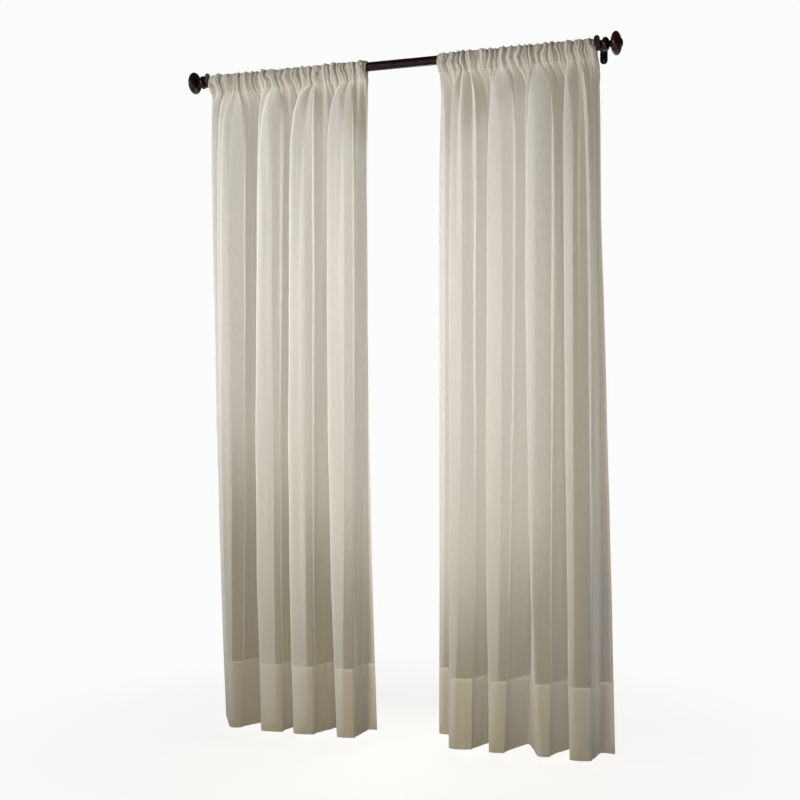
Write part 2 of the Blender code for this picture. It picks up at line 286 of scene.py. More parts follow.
# %% Soft noise and lobes
def soft_noise(across, down, cells_across, cells_down, seed):
    """Noise from -1 to 1 at shares across (columns) and down (rows), eased between random points."""
    random = np.random.default_rng(seed)
    knots = random.uniform(-1, 1, (cells_down + 2, cells_across + 2))
    x, y = np.asarray(across) * cells_across, np.asarray(down) * cells_down
    i, j = np.floor(x).astype(int), np.floor(y).astype(int)
    i, j = np.clip(i, 0, cells_across), np.clip(j, 0, cells_down)
    u, v = x - i, y - j
    u, v = u * u * (3 - 2 * u), v * v * (3 - 2 * v)
    top = knots[j, i] * (1 - u) + knots[j, i + 1] * u
    low = knots[j + 1, i] * (1 - u) + knots[j + 1, i + 1] * u
    return top * (1 - v) + low * v


def lobe_places(count, seed):
    """The valleys between count puckers, as shares across the panel, unevenly spaced."""
    widths = np.random.default_rng(seed).uniform(0.5, 1.6, count)
    return np.concatenate(([0.0], np.cumsum(widths) / widths.sum()))


def lobe_height(shares, count, seed, power):
    """Height of the puckers, 0 in a valley and up to 1 on a crest: a half sine to a power."""
    valleys = lobe_places(count, seed)
    i = np.clip(np.searchsorted(valleys, shares, side="right") - 1, 0, count - 1)
    t = np.clip((shares - valleys[i]) / (valleys[i + 1] - valleys[i]), 0, 1)
    tall = np.random.default_rng(seed + 1).uniform(0.45, 1.0, count)
    return tall[i] * np.sin(math.pi * t) ** power, i


print("valleys of the left panel:", np.round(lobe_places(21, 11)[:6], 3))

# %% [markdown]
# One panel is one length of cloth, cut about 2.4 m long. It starts behind the hem, at the hem's seam,
# runs down to the bottom edge, turns there, climbs the whole front to the seam of the pocket, goes
# over the rod and comes down behind it to the same seam. Every row of the grid is one line across the
# cloth on that way. The height of a row says how gathered it is there.

# %% Rows of the cloth, from the hem's seam over the rod to the pocket's seam
COLUMNS = 441
LAYER_GAP = 0.0009
TURNED_EDGE = 0.006
FRONT_FIRST = 18  # rows before the front: the hem's inside and the bend at its bottom
HEM_TURN = 0.006
POCKET_GAP = 0.0007
LOBE_RISE = 0.0100
SUBFOLD_DEPTH = 0.0105
LEAN = 0.65
LONGEST_SUBFOLD = 0.75
STRAIGHT_BELOW = 0.06
VALLEY_SHADE_FADE = 0.045
FINE_RISE = 0.0042
FINE_DEPTH = 0.004
CREASE_RISE = 0.0020
SWAY = 0.030


def drop_rows():
    """Heights below the axis of the front's rows from the hem up, closer together near the top."""
    t = np.linspace(0, 1, 105)
    eased = 1 - (1 - t) ** 1.35
    return drop_below_axis + (SEAM_BELOW_AXIS - drop_below_axis) * eased


def at_ends(shares, left, right):
    """An amount at each end of the panel's width, which dies out fast, by a power, away from it."""
    return left * (1 - shares) ** 8 + right * shares**8


def hanging(panel, shares, heights):
    """Points, backward normals, flat width, and a painted shade by how far down between the puckers
    each point lies, of the hanging cloth.

    The points are rows by columns by 3, one row for each height.

    Across: the gathered place goes over to the fold line by the table's spread. The edges hang
    straighter than that, most so 60 mm below the seam, and the pair's two outer edges drift by
    their own table. Depth: the fold line's depth by the table's depth, and the puckers, which
    fade down the cloth each at its own rate. Soft noise bends the folds a little.
    """
    hem, waist, width = section_of(panel, shares)
    table = np.array(DROP_ROWS).T
    heights = np.asarray(heights, dtype=float)[:, None]
    spread, depth, flare = (np.interp(heights, table[0], row) for row in table[1:])
    folded_x = waist[:, 0] + flare * (hem[:, 0] - waist[:, 0])
    folded_y = waist[:, 1] + flare * (hem[:, 1] - waist[:, 1])
    gathered = panel["width"] * shares + at_ends(shares, *panel["widens"])
    below = heights - SEAM_BELOW_AXIS
    straight = below / STRAIGHT_BELOW * np.exp(1 - below / STRAIGHT_BELOW)
    drop, left_drift, right_drift = np.array(EDGE_ROWS).T
    outer = (
        np.interp(heights, drop, left_drift) * panel["outer"][0],
        np.interp(heights, drop, right_drift) * panel["outer"][1],
    )
    edges = at_ends(shares, *panel["edges"])
    x = gathered + spread * (folded_x - gathered) + straight * edges + at_ends(shares, *outer)
    y = depth * folded_y
    lobes, index = lobe_height(shares, panel["lobes"], panel["seed"], 1.1)
    fine, _ = lobe_height(shares, 2 * panel["lobes"] + 5, panel["seed"] + 8, 1.0)
    random = np.random.default_rng(panel["seed"] + 2)
    reach = random.uniform(0.10, LONGEST_SUBFOLD, panel["lobes"])[index]
    grow = 0.55 + np.clip(below / STRAIGHT_BELOW, 0, 1)
    subfold = SUBFOLD_DEPTH * (lobes - 0.5) * grow * np.exp(-((below / reach) ** 2))
    subfold = subfold + FINE_DEPTH * (fine - 0.5) * np.exp(-below / 0.10)
    down = np.broadcast_to(heights / drop_below_axis, x.shape)
    across = np.broadcast_to(shares, x.shape)
    drift = 0.0030 * soft_noise(across, down, 26, 3, panel["seed"] + 3)
    drift = drift + 0.0012 * soft_noise(across, down, 90, 9, panel["seed"] + 4)
    tangent = np.stack((np.gradient(x, axis=1), np.gradient(y, axis=1)), axis=-1)
    tangent /= np.linalg.norm(tangent, axis=-1, keepdims=True)
    backward = np.stack((-tangent[..., 1], tangent[..., 0]), axis=-1)
    free = np.clip(below / 0.05, 0, 1)
    push = drift * free
    x = x + backward[..., 0] * push - LEAN * subfold
    y = y + backward[..., 1] * push - subfold
    z = -heights + np.zeros_like(x)
    # Painted shade: darker, warmer yarns far down between the puckers, fading away below the seam.
    valley_shade = (1 - lobes) ** 2 * np.exp(-below / VALLEY_SHADE_FADE)
    return np.stack((x, y, z), axis=-1), backward, width, valley_shade


def pocket(panel, shares, seam):
    """Rows of the pocket from its seam in front, over the rod, to its seam behind.

    Seen along the rod it is a drop: a round over the rod, drawn down to the seam. The puckers add
    to its radius and sway to and fro on their way over, and finer ones and a noise crumple them.
    The second result is a painted shade: how far down between the puckers a point lies, from 0 on the
    highest crest to 1 in a valley.
    """
    steps = 44
    angle = np.linspace(0, math.tau, steps + 1)[1:-1, None]
    radius = rod_radius + POCKET_GAP
    turn = math.acos(radius / SEAM_BELOW_AXIS)
    from_bottom = np.minimum(angle, math.tau - angle)
    stretch = 1 / np.cos(np.maximum(0.0, turn - from_bottom))
    down = np.broadcast_to(angle / math.tau, (steps - 1, len(shares)))
    across = np.broadcast_to(shares, down.shape)
    slant = SWAY * np.sin(angle) * soft_noise(across, down, 13, 3, panel["seed"] + 5)
    moved = np.clip(shares + slant, 0, 1)
    lobes, _ = lobe_height(moved, panel["lobes"], panel["seed"], 1.1)
    fine, _ = lobe_height(moved, 2 * panel["lobes"] + 5, panel["seed"] + 8, 1.0)
    crumple = 0.5 + 0.5 * soft_noise(across, down, 64, 6, panel["seed"] + 6)
    full = 0.45 + 0.75 * np.abs(np.sin(angle))
    creased = 0.5 + 0.5 * soft_noise((across + 0.3 * down) / 1.3, down, 130, 7, panel["seed"] + 9)
    rise = full * (LOBE_RISE * lobes * (0.6 + 0.5 * crumple) + FINE_RISE * fine)
    rise = rise + CREASE_RISE * creased
    reach = radius * stretch + rise
    middle = seam[:, 1] * np.clip(np.cos(angle), 0, 1) ** 4
    y = middle - reach * np.sin(angle)
    z = -reach * np.cos(angle)
    wander = 0.0016 * soft_noise(across, down, 30, 5, panel["seed"] + 7)
    widened = at_ends(shares, *panel["widens"]) * (1 + np.cos(angle)) / 2
    x = panel["width"] * shares + widened + wander
    # The second result is a painted shade, strongest in the valleys.
    return np.stack((x, y, z), axis=-1), (1 - lobes * (0.7 + 0.3 * crumple)) ** 2


def panel_rows(panel):
    """The whole cloth as rows by columns by 3, how far along the cut length each row lies, and a
    painted shade by how far down between puckers each point lies."""
    shares = np.linspace(0, 1, COLUMNS)
    front_heights = drop_rows()
    front, backward, width, front_valley_shade = hanging(panel, shares, front_heights)
    seam_height = drop_below_axis - HEM_HEIGHT
    turned_heights = seam_height + np.array((HEM_TURN, HEM_TURN / 2, 0.0))
    allowance_heights = np.linspace(seam_height - 0.0003, drop_below_axis - LAYER_GAP, 12)
    inner_heights = np.append(turned_heights, allowance_heights)
    inner, inner_back, _, inner_valley_shade = hanging(panel, shares, inner_heights)
    inner[:3, :, :2] += 0.5 * LAYER_GAP * inner_back[:3]
    inner[3:, :, :2] += LAYER_GAP * inner_back[3:]
    turn = np.radians((135, 90, 45))[:, None, None]
    middle = front[0, :, :2] + LAYER_GAP / 2 * backward[0]
    bend = np.concatenate(
        (
            middle - LAYER_GAP / 2 * np.cos(turn) * backward[0],
            np.zeros((3, COLUMNS, 1)) - drop_below_axis - LAYER_GAP / 2 * np.sin(turn),
        ),
        axis=-1,
    )
    over, over_valley_shade = pocket(panel, shares, front[-1])
    tail = front[-1:].copy()
    tail[..., :2] += LAYER_GAP * backward[-1]
    under = tail.copy()
    under[..., 2] -= TURNED_EDGE
    rows = np.concatenate((inner, bend, front, over, tail, under))
    steps = np.linalg.norm(np.diff(rows, axis=0), axis=-1).mean(axis=1)
    along = np.concatenate(([0.0], np.cumsum(steps)))
    rows = rows + np.array((panel["corner"], axis_y, 0.0))
    seam_valley_shade = np.repeat(front_valley_shade[-1:], 2, axis=0)
    valley_shade = np.concatenate((inner_valley_shade, np.zeros((3, COLUMNS)), front_valley_shade, over_valley_shade, seam_valley_shade))
    return rows, shares, along, width, valley_shade


print("a cloth of", len(panel_rows(PANELS["panel_left"])[0]), "rows and", COLUMNS, "columns")

# %% [markdown]
# Down each side runs a narrow hem, a second layer of the same cloth 12 mm wide. It is a strip of the
# same grid set a little behind, and it belongs to the panel's mesh.
#
# The pocket and the cloth just below it are gathered more finely than a grid can show. So each point
# carries how many times over the yarns lie there, and the finish makes the cloth that much denser. It
# also carries a painted shade, by how far down it lies between two puckers, and the finish darkens and
# warms the yarns there by that much.

# %% Panel meshes
SIDE_HEM_COLUMNS = 5
SIDE_HEM_GAP = 0.0007
POCKET_GATHER = 1.1
GATHER_FADE = 0.035


def gathered_at(rows):
    """How many times over the yarns lie at each row: most in the pocket, falling off below its seam."""
    below = np.maximum(-rows[..., 2] - SEAM_BELOW_AXIS, 0.0)
    return 1.0 + POCKET_GATHER * np.exp(-below / GATHER_FADE)


def panel_mesh(name, panel):
    """The panel's mesh with its side hems, its points and its flat size."""
    rows, shares, along, width, valley_shade = panel_rows(panel)
    count = len(rows)
    uv = np.stack(np.broadcast_arrays(shares[None, :] * width, along[:, None]), axis=-1)
    points, faces, marks = [rows.reshape(-1, 3)], [grid_faces(count, COLUMNS)], [uv.reshape(-1, 2)]
    valley_shades = [valley_shade.ravel()]
    first = count * COLUMNS
    strip_row = FRONT_FIRST + 1
    tangent = np.gradient(rows, axis=1)
    rise = np.gradient(rows, axis=0)
    backward = np.cross(rise, tangent)
    backward /= np.maximum(np.linalg.norm(backward, axis=-1, keepdims=True), 1e-9)
    for columns in (slice(0, SIDE_HEM_COLUMNS), slice(COLUMNS - SIDE_HEM_COLUMNS, COLUMNS)):
        strip = rows[strip_row:, columns] - SIDE_HEM_GAP * backward[strip_row:, columns]
        points.append(strip.reshape(-1, 3))
        marks.append(uv[strip_row:, columns].reshape(-1, 2))
        valley_shades.append(valley_shade[strip_row:, columns].ravel())
        faces.append(grid_faces(count - strip_row, SIDE_HEM_COLUMNS, first=first))
        first += strip.shape[0] * strip.shape[1]
    mesh = mesh_from(name, np.concatenate(points), np.concatenate(faces), np.concatenate(marks))
    mark_points(mesh, "gathered", gathered_at(np.concatenate(points)))
    # A painted shade between the puckers, read by the voile's finish.
    mark_points(mesh, "valley_shade", np.concatenate(valley_shades))
    return mesh, rows, (width, along[-1])


print("side hems of", SIDE_HEM_COLUMNS - 1, "quads in", COLUMNS - 1)

# %% [markdown]
# Every finish here is a small tree of nodes. Four helpers keep their code short: one adds a node, one
# adds a Math node whose inputs may be numbers or sockets, one starts a material and one starts a
# node group with its named sockets.

# %% Node helpers
def add_node(tree, kind, **settings):
    """A new node with its settings given by name."""
    node = tree.nodes.new(kind)
    for key, value in settings.items():
        setattr(node, key, value)
    return node


def math_node(tree, operation, first, second=0.5, third=None, clamp=False):
    """A Math node whose inputs are numbers or sockets; returns its output."""
    node = add_node(tree, "ShaderNodeMath", operation=operation, use_clamp=clamp)
    for socket, value in zip(node.inputs, (first, second, third)):
        if value is None:
            continue
        if hasattr(value, "is_output"):
            tree.links.new(value, socket)
        else:
            socket.default_value = value
    return node.outputs[0]


def new_finish(name):
    """A new material, its tree of nodes and its Principled BSDF."""
    made = bpy.data.materials.new(name)
    made.use_nodes = True
    return made, made.node_tree, made.node_tree.nodes["Principled BSDF"]


def new_group(name, inputs, outputs):
    """A shader node group with its named sockets, and its input and output nodes."""
    group = bpy.data.node_groups.new(name, "ShaderNodeTree")
    for label, kind, value in inputs:
        made = group.interface.new_socket(name=label, in_out="INPUT", socket_type="NodeSocket" + kind)
        if value is not None:
            made.default_value = value
    for label, kind in outputs:
        group.interface.new_socket(name=label, in_out="OUTPUT", socket_type="NodeSocket" + kind)
    return group, add_node(group, "NodeGroupInput"), add_node(group, "NodeGroupOutput")


print("helpers:", ", ".join(item.__name__ for item in (add_node, math_node, new_finish, new_group)))

# %% [markdown]
# Voile is a plain weave of fine, tightly twisted yarns with gaps between them. Drawing each yarn as a
# solid would take millions of faces, so the weave is two crossed waves of the cloth's own measure. A
# stretched noise on top gives the yarns their slight thick and thin places.

# %% The weave group
def weave_group():
    """Cover, height and shade of a plain weave from the cloth's own measure in metres."""
    group, start, end = new_group(
        "plain_weave",
        (("Cloth", "Vector", None), ("Yarns per metre", "Float", 2200.0), ("Gap", "Float", 0.25)),
        (("Cover", "Float"), ("Height", "Float"), ("Shade", "Float")),
    )
    parts = add_node(group, "ShaderNodeSeparateXYZ")
    group.links.new(start.outputs["Cloth"], parts.inputs[0])
    waves = []
    for axis in (0, 1):
        turns = math_node(group, "MULTIPLY", parts.outputs[axis], start.outputs["Yarns per metre"])
        wave = math_node(group, "SINE", math_node(group, "MULTIPLY", turns, math.pi))
        waves.append(math_node(group, "ABSOLUTE", wave))
    height = math_node(group, "MAXIMUM", waves[0], waves[1])
    slub = add_node(group, "ShaderNodeTexNoise", noise_dimensions="2D")
    slub.inputs["Scale"].default_value = 1.0
    slub.inputs["Detail"].default_value = 3.0
    stretch = add_node(group, "ShaderNodeMapping")
    stretch.inputs["Scale"].default_value = (900.0, 28.0, 1.0)
    group.links.new(start.outputs["Cloth"], stretch.inputs["Vector"])
    group.links.new(stretch.outputs[0], slub.inputs["Vector"])
    uneven = math_node(group, "SUBTRACT", slub.outputs[0], 0.5)
    cover = math_node(group, "SUBTRACT", 1.0, start.outputs["Gap"])
    woven = math_node(group, "MULTIPLY_ADD", math_node(group, "SUBTRACT", height, 0.78), 0.25, cover)
    cover = math_node(group, "MULTIPLY_ADD", uneven, 0.09, woven, clamp=True)
    shade = math_node(group, "MULTIPLY_ADD", uneven, 0.10, 1.0)
    group.links.new(cover, end.inputs["Cover"])
    group.links.new(height, end.inputs["Height"])
    group.links.new(shade, end.inputs["Shade"])
    return group


WEAVE = weave_group()
sockets = WEAVE.interface.items_tree
print("the weave group puts out", [item.name for item in sockets if item.in_out == "OUTPUT"])

# %% [markdown]
# Seen from a step away the yarns melt into a veil: part of what is behind shows through the gaps, and
# the yarns glow where light falls on their backs. So the finish mixes three shaders: a soft one for
# yarns lit from the front, a translucent one for light from behind and a transparent one for the
# gaps. Where the cloth slants away from the eye, or is gathered, the gaps close. Light on its way to
# the cloth is held back less, so that the layers behind a fold stay bright.

# %% The voile
SHADOW_CUT = -0.60
# How strongly the painted shade between the puckers darkens the yarns.
VALLEY_SHADE_STRENGTH = 0.85


def voile_finish(name, colour, valley, gap, glow):
    """The veil: yarn colour, the colour of the painted shade in valleys, share of gaps, and share of
    light passed on.
    """
    made, tree, shader = new_finish(name)
    output = tree.nodes["Material Output"]
    cloth = add_node(tree, "ShaderNodeUVMap", uv_map="cloth")
    weave = add_node(tree, "ShaderNodeGroup", node_tree=WEAVE)
    weave.inputs["Gap"].default_value = gap
    tree.links.new(cloth.outputs[0], weave.inputs["Cloth"])
    tint = add_node(tree, "ShaderNodeMix", data_type="RGBA", blend_type="MULTIPLY")
    tint.inputs["Factor"].default_value = 1.0
    tint.inputs["A"].default_value = (*colour, 1.0)
    shade = add_node(tree, "ShaderNodeCombineColor")
    for socket in shade.inputs:
        tree.links.new(weave.outputs["Shade"], socket)
    tree.links.new(shade.outputs[0], tint.inputs["B"])
    # Painted shade: the yarns are darkened and warmed between the puckers by the point's attribute.
    valley_shade_read = add_node(tree, "ShaderNodeAttribute", attribute_name="valley_shade")
    valley_shaded = add_node(tree, "ShaderNodeMix", data_type="RGBA", blend_type="MULTIPLY")
    valley_shaded.inputs["B"].default_value = (*valley, 1.0)
    valley_shade_amount = math_node(tree, "MULTIPLY", valley_shade_read.outputs["Fac"], VALLEY_SHADE_STRENGTH)
    tree.links.new(valley_shade_amount, valley_shaded.inputs["Factor"])
    tree.links.new(tint.outputs["Result"], valley_shaded.inputs["A"])
    yarn = valley_shaded.outputs["Result"]
    tree.links.new(yarn, shader.inputs["Base Color"])
    shader.inputs["Roughness"].default_value = 0.78
    shader.inputs["Specular IOR Level"].default_value = 0.25
    shader.inputs["Sheen Weight"].default_value = 0.25
    shader.inputs["Sheen Roughness"].default_value = 0.4
    bump = add_node(tree, "ShaderNodeBump")
    bump.inputs["Strength"].default_value = 0.25
    bump.inputs["Distance"].default_value = 0.0001
    tree.links.new(weave.outputs["Height"], bump.inputs["Height"])
    tree.links.new(bump.outputs[0], shader.inputs["Normal"])
    behind = add_node(tree, "ShaderNodeBsdfTranslucent")
    tree.links.new(yarn, behind.inputs["Color"])
    body = add_node(tree, "ShaderNodeMixShader")
    body.inputs["Fac"].default_value = glow
    tree.links.new(shader.outputs[0], body.inputs[1])
    tree.links.new(behind.outputs[0], body.inputs[2])
    clear = add_node(tree, "ShaderNodeBsdfTransparent")
    veil = add_node(tree, "ShaderNodeMixShader")
    slant = add_node(tree, "ShaderNodeLayerWeight")
    slant.inputs["Blend"].default_value = 0.5
    straight = math_node(tree, "SUBTRACT", 1.0, slant.outputs["Facing"])
    straight = math_node(tree, "MAXIMUM", straight, 0.12)
    layers = math_node(tree, "DIVIDE", 1.0, straight)
    open_share = math_node(tree, "SUBTRACT", 1.0, weave.outputs["Cover"], clamp=True)
    pleats = add_node(tree, "ShaderNodeAttribute", attribute_name="gathered")
    crossed = math_node(tree, "MULTIPLY", layers, pleats.outputs["Fac"])
    seen_open = math_node(tree, "POWER", open_share, crossed)
    seen_cover = math_node(tree, "SUBTRACT", 1.0, seen_open, clamp=True)
    path = add_node(tree, "ShaderNodeLightPath")
    loose = math_node(tree, "SUBTRACT", 2.0, pleats.outputs["Fac"], clamp=True)
    lighter = math_node(tree, "MULTIPLY", path.outputs["Is Shadow Ray"], loose)
    passing = math_node(tree, "MULTIPLY_ADD", lighter, SHADOW_CUT, 1.0)
    tree.links.new(math_node(tree, "MULTIPLY", seen_cover, passing), veil.inputs["Fac"])
    tree.links.new(clear.outputs[0], veil.inputs[1])
    tree.links.new(body.outputs[0], veil.inputs[2])
    tree.links.new(veil.outputs[0], output.inputs["Surface"])
    return made


# The second colour is the painted shade in the valleys between puckers.
voile = voile_finish("voile", (0.77, 0.752, 0.708), (0.56, 0.50, 0.33), 0.60, 0.36)
print("the voile mixes", len(voile.node_tree.nodes), "nodes")

# %% [markdown]
# Sewing thread is thicker and rounder than the yarns, so it has a plain coat with a fine mottle in
# the twist's scale.

# %% The thread
thread, thread_tree, thread_shader = new_finish("thread")
twist = add_node(thread_tree, "ShaderNodeTexNoise")
twist.inputs["Scale"].default_value = 900.0
ramp = add_node(thread_tree, "ShaderNodeValToRGB")
ramp.color_ramp.elements[0].color = (0.62, 0.58, 0.50, 1)
ramp.color_ramp.elements[1].color = (0.80, 0.76, 0.68, 1)
where = add_node(thread_tree, "ShaderNodeTexCoord")
thread_tree.links.new(where.outputs["Object"], twist.inputs["Vector"])
thread_tree.links.new(twist.outputs[0], ramp.inputs[0])
thread_tree.links.new(ramp.outputs[0], thread_shader.inputs["Base Color"])
thread_shader.inputs["Roughness"].default_value = 0.55
print("finishes:", [m.name for m in bpy.data.materials])

# %% [markdown]
# Two rows of stitching show: one holds the top of the hem, the other closes the pocket under the rod.
# Each stitch is a small bead-like tube that follows the cloth, and all the stitches of a row are one
# mesh, made from one small ring pattern placed at every stitch at once.

# %% Stitches
STITCH_PITCH = 0.0036
STITCH_RADIUS = 0.00062
RING = 6


def stitch_row(name, path, out, width):
    """Stitches along a path (n by 3), raised towards out; each is a closed tube of 4 small rings."""
    step = np.linalg.norm(np.diff(path, axis=0), axis=1)
    along = np.concatenate(([0.0], np.cumsum(step)))
    count = int(width / STITCH_PITCH)
    middle = (np.arange(count) + 0.5) / count * along[-1]
    half = 0.40 * along[-1] / count
    ring_at = np.array((-1.0, -0.62, 0.62, 1.0))
    ring_size = np.array((0.25, 1.0, 1.0, 0.25))
    place = np.stack([
        np.interp(middle[:, None] + half * ring_at, along, path[:, axis]) for axis in range(3)
    ], axis=-1)
    lift = np.stack([
        np.interp(middle[:, None] + half * ring_at, along, out[:, axis]) for axis in range(3)
    ], axis=-1)
    lift /= np.linalg.norm(lift, axis=-1, keepdims=True)
    forward = place[:, -1:] - place[:, :1]
    forward = forward / np.linalg.norm(forward, axis=-1, keepdims=True)
    side = np.cross(np.broadcast_to(forward, lift.shape), lift)
    side /= np.linalg.norm(side, axis=-1, keepdims=True)
    turn = math.tau * np.arange(RING) / RING
    rise = (ring_size * STITCH_RADIUS)[None, :, None, None]
    points = (
        place[:, :, None]
        + lift[:, :, None] * (STITCH_RADIUS * 0.6 + rise * np.cos(turn)[:, None])
        + side[:, :, None] * rise * np.sin(turn)[:, None]
    )
    last = 3 * RING
    caps = np.array(((3, 2, 1, 0), (5, 4, 3, 0), (0, 1, 2, 3), (0, 3, 4, 5)))
    caps[2:] += last
    faces = np.concatenate((grid_faces(4, RING, closed_columns=True), caps))
    all_faces = (faces[None] + 4 * RING * np.arange(count)[:, None, None]).reshape(-1, 4)
    return mesh_from(name, points.reshape(-1, 3), all_faces)


print("a stitch every", 1000 * STITCH_PITCH, "mm")

# %% Hang the panels
front_heights = drop_rows()
hem_row = FRONT_FIRST + int(np.argmin(np.abs(front_heights - drop_below_axis + HEM_HEIGHT)))
seam_row = FRONT_FIRST + len(front_heights) - 1
for name, panel in PANELS.items():
    side = name.split("_")[1]
    mesh, rows, flat = panel_mesh("voile_" + side, panel)
    piece = add_piece("voile_" + side, mesh, voile, "voile", name)
    across = np.gradient(rows, axis=1)
    upward = np.gradient(rows, axis=0)
    outward = np.cross(across, upward)
    outward /= np.maximum(np.linalg.norm(outward, axis=-1, keepdims=True), 1e-9)
    for label, row in (("hem", hem_row), ("pocket", seam_row)):
        stitch_mesh = stitch_row(
            label + "_stitches_" + side, rows[row], outward[row], flat[0],
        )
        add_piece(label + "_stitches_" + side, stitch_mesh, thread, "voile")
    print(piece.name, "flat size", [round(v, 3) for v in flat], "faces", len(mesh.polygons))

# %% [markdown]
# Oil-rubbed bronze is a nearly black brown coat over a warm metal. It is satin, a little uneven in
# gloss, and a reddish brown shows where hands and edges have rubbed it.

# %% Bronze finish
def rubbed_group():
    """Colour, roughness and height of rubbed bronze from a place on the piece and its wear.

    A cloudy noise adds to the wear, the wear blends the dark coat into the warm one, and the same
    noise makes the gloss and the height uneven.
    """
    group, start, end = new_group(
        "rubbed_bronze",
        (
            ("Place", "Vector", None),
            ("Wear", "Float", 0.0),
            ("Dark", "Color", None),
            ("Warm", "Color", None),
            ("Smooth", "Float", 0.24),
        ),
        (("Colour", "Color"), ("Roughness", "Float"), ("Height", "Float")),
    )
    cloud = add_node(group, "ShaderNodeTexNoise")
    cloud.inputs["Scale"].default_value = 38.0
    cloud.inputs["Detail"].default_value = 6.0
    group.links.new(start.outputs["Place"], cloud.inputs["Vector"])
    uneven = math_node(group, "ADD", cloud.outputs[0], 0.4)
    patchy = math_node(group, "MULTIPLY", start.outputs["Wear"], uneven)
    haze = math_node(group, "MULTIPLY_ADD", cloud.outputs[0], 0.45, -0.12)
    worn = math_node(group, "ADD", patchy, haze, clamp=True)
    tint = add_node(group, "ShaderNodeMix", data_type="RGBA")
    group.links.new(worn, tint.inputs["Factor"])
    group.links.new(start.outputs["Dark"], tint.inputs["A"])
    group.links.new(start.outputs["Warm"], tint.inputs["B"])
    rough = math_node(group, "MULTIPLY_ADD", cloud.outputs[0], 0.22, start.outputs["Smooth"])
    grain = add_node(group, "ShaderNodeTexNoise")
    grain.inputs["Scale"].default_value = 420.0
    grain.inputs["Detail"].default_value = 2.0
    group.links.new(start.outputs["Place"], grain.inputs["Vector"])
    group.links.new(tint.outputs["Result"], end.inputs["Colour"])
    group.links.new(rough, end.inputs["Roughness"])
    group.links.new(grain.outputs[0], end.inputs["Height"])
    return group


RUBBED = rubbed_group()


def bronze_finish(name, dark, warm, smooth):
    """A metal whose coat, from dark to warm, and gloss come from the rubbed bronze group."""
    made, tree, shader = new_finish(name)
    where = add_node(tree, "ShaderNodeTexCoord")
    rub = add_node(tree, "ShaderNodeAttribute", attribute_name="rub")
    rubbed = add_node(tree, "ShaderNodeGroup", node_tree=RUBBED)
    rubbed.inputs["Dark"].default_value = (*dark, 1.0)
    rubbed.inputs["Warm"].default_value = (*warm, 1.0)
    rubbed.inputs["Smooth"].default_value = smooth
    tree.links.new(where.outputs["Object"], rubbed.inputs["Place"])
    tree.links.new(rub.outputs["Fac"], rubbed.inputs["Wear"])
    tree.links.new(rubbed.outputs["Colour"], shader.inputs["Base Color"])
    tree.links.new(rubbed.outputs["Roughness"], shader.inputs["Roughness"])
    bump = add_node(tree, "ShaderNodeBump")
    bump.inputs["Strength"].default_value = 0.12
    bump.inputs["Distance"].default_value = 0.0004
    tree.links.new(rubbed.outputs["Height"], bump.inputs["Height"])
    tree.links.new(bump.outputs[0], shader.inputs["Normal"])
    shader.inputs["Metallic"].default_value = 0.4
    shader.inputs["Specular IOR Level"].default_value = 0.30
    return made


bronze = bronze_finish("bronze", (0.0042, 0.0022, 0.0015), (0.036, 0.013, 0.008), 0.11)
cast_bronze = bronze_finish("cast_bronze", (0.0042, 0.0022, 0.0015), (0.036, 0.013, 0.008), 0.42)
# The screws' lighter coat is a painted highlight.
screw_highlight_bronze = bronze_finish("screw_highlight_bronze", (0.09, 0.055, 0.045), (0.36, 0.21, 0.16), 0.22)
print("bronze finishes use the group", RUBBED.name)

# %% [markdown]
# The rod and its finials are turned: one profile swept about the rod's axis makes each of them. A
# finial is a ball, a short thin neck, a thick disc with a soft rim and a button at its end.

# %% Turned pieces
def turned(name, profile, steps, rubbed):
    """A surface turned about the X axis from a profile of (x, radius), first and last on the axis.

    rubbed gives for each profile point how much its coat is worn, and is kept as an attribute.
    """
    profile = np.array(profile)
    angle = math.tau * np.arange(steps) / steps
    x = np.broadcast_to(profile[:, :1], (len(profile), steps))
    radius = np.maximum(profile[:, 1:], 0.00002)
    points = np.stack((x, radius * np.sin(angle), radius * np.cos(angle)), axis=-1)
    mesh = mesh_from(name, points.reshape(-1, 3), grid_faces(len(profile), steps, closed_columns=True))
    mark_points(mesh, "rub", np.repeat(rubbed, steps))
    shape = bmesh.new()
    shape.from_mesh(mesh)
    bmesh.ops.remove_doubles(shape, verts=shape.verts, dist=0.00005)
    bmesh.ops.recalc_face_normals(shape, faces=shape.faces)
    shape.to_mesh(mesh)
    shape.free()
    return mesh


def oval(centre, half, radius, start, end, steps):
    """Points of an oval about the axis, by angle in degrees from the rod's side outwards."""
    angle = np.radians(np.linspace(start, end, steps + 1))
    return np.stack((centre - half * np.cos(angle), radius * np.sin(angle)), axis=1)


FINIAL_PARTS = (  # centre, half length, radius, first and last angle, of each turned swelling
    ("ball", 0.0132, 0.0130, 0.0213, 22, 150),
    ("disc", 0.0450, 0.0160, 0.0357, 22, 150),
    ("button", 0.0575, 0.0078, 0.0152, 55, 180),
)
DOWEL = 0.0074
NECK = 0.0090


def finial_profile():
    """The finial from its dowel outwards, and how worn each place is: most on the widest rims."""
    swellings = {part[0]: oval(*part[1:], 22) for part in FINIAL_PARTS}
    points = [(-0.018, 0.0), (-0.018, DOWEL), (0.0004, DOWEL)]
    points += [tuple(p) for p in swellings["ball"]]
    points += [(0.0262, NECK + 0.0008), (0.0272, NECK), (0.0282, NECK + 0.0008)]
    points += [tuple(p) for p in swellings["disc"]]
    points += [tuple(p) for p in swellings["button"]]
    widest = [0.25 if 0.020 < radius < 0.0216 else 0.0 for _, radius in points]
    worn = [0.75 * (point[1] / 0.036) ** 3 + more for point, more in zip(points, widest)]
    return points, worn


print("a finial has", len(finial_profile()[0]), "profile points")

# %% [markdown]
# The rod is a tube with softly broken ends. Its finials stand at both ends, each a copy of one turned
# shape, and the left one is mirrored and turned right side out again.

